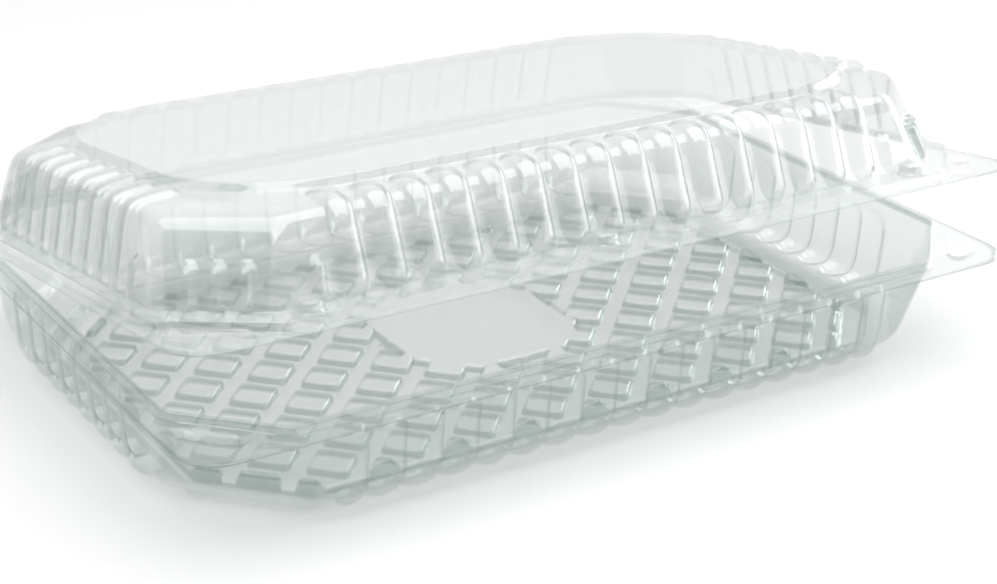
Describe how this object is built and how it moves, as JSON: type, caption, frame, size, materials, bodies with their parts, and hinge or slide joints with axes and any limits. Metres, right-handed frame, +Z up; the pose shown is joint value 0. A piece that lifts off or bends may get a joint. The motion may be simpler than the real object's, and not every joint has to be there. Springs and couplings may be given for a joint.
{
  "type": "hinged food container",
  "caption": "Empty clear formed-sheet food container: fluted tray with a diamond-patterned floor, ribbed lid with a raised panel, hinged along the back and standing a little open.",
  "frame": {"origin": "middle of the container's outline in plan, at the level it rests on", "axes": "+X along the long sides to the right, +Y from the open front to the hinge at the back, +Z up"},
  "size_m": [0.2612, 0.1752, 0.0814],
  "materials": {
    "clear_sheet": "gloss"
  },
  "bodies": {
    "tray": {"tray": "clear_sheet"},
    "lid": {"lid": "clear_sheet"}
  },
  "joints": [
    {"name": "lid_hinge", "type": "hinge", "parent": "tray", "child": "lid", "pos_m": [0, 0.088, 0.03112], "axis": [-1, 0, 0], "range_deg": [-8.5, 170]}
  ]
}
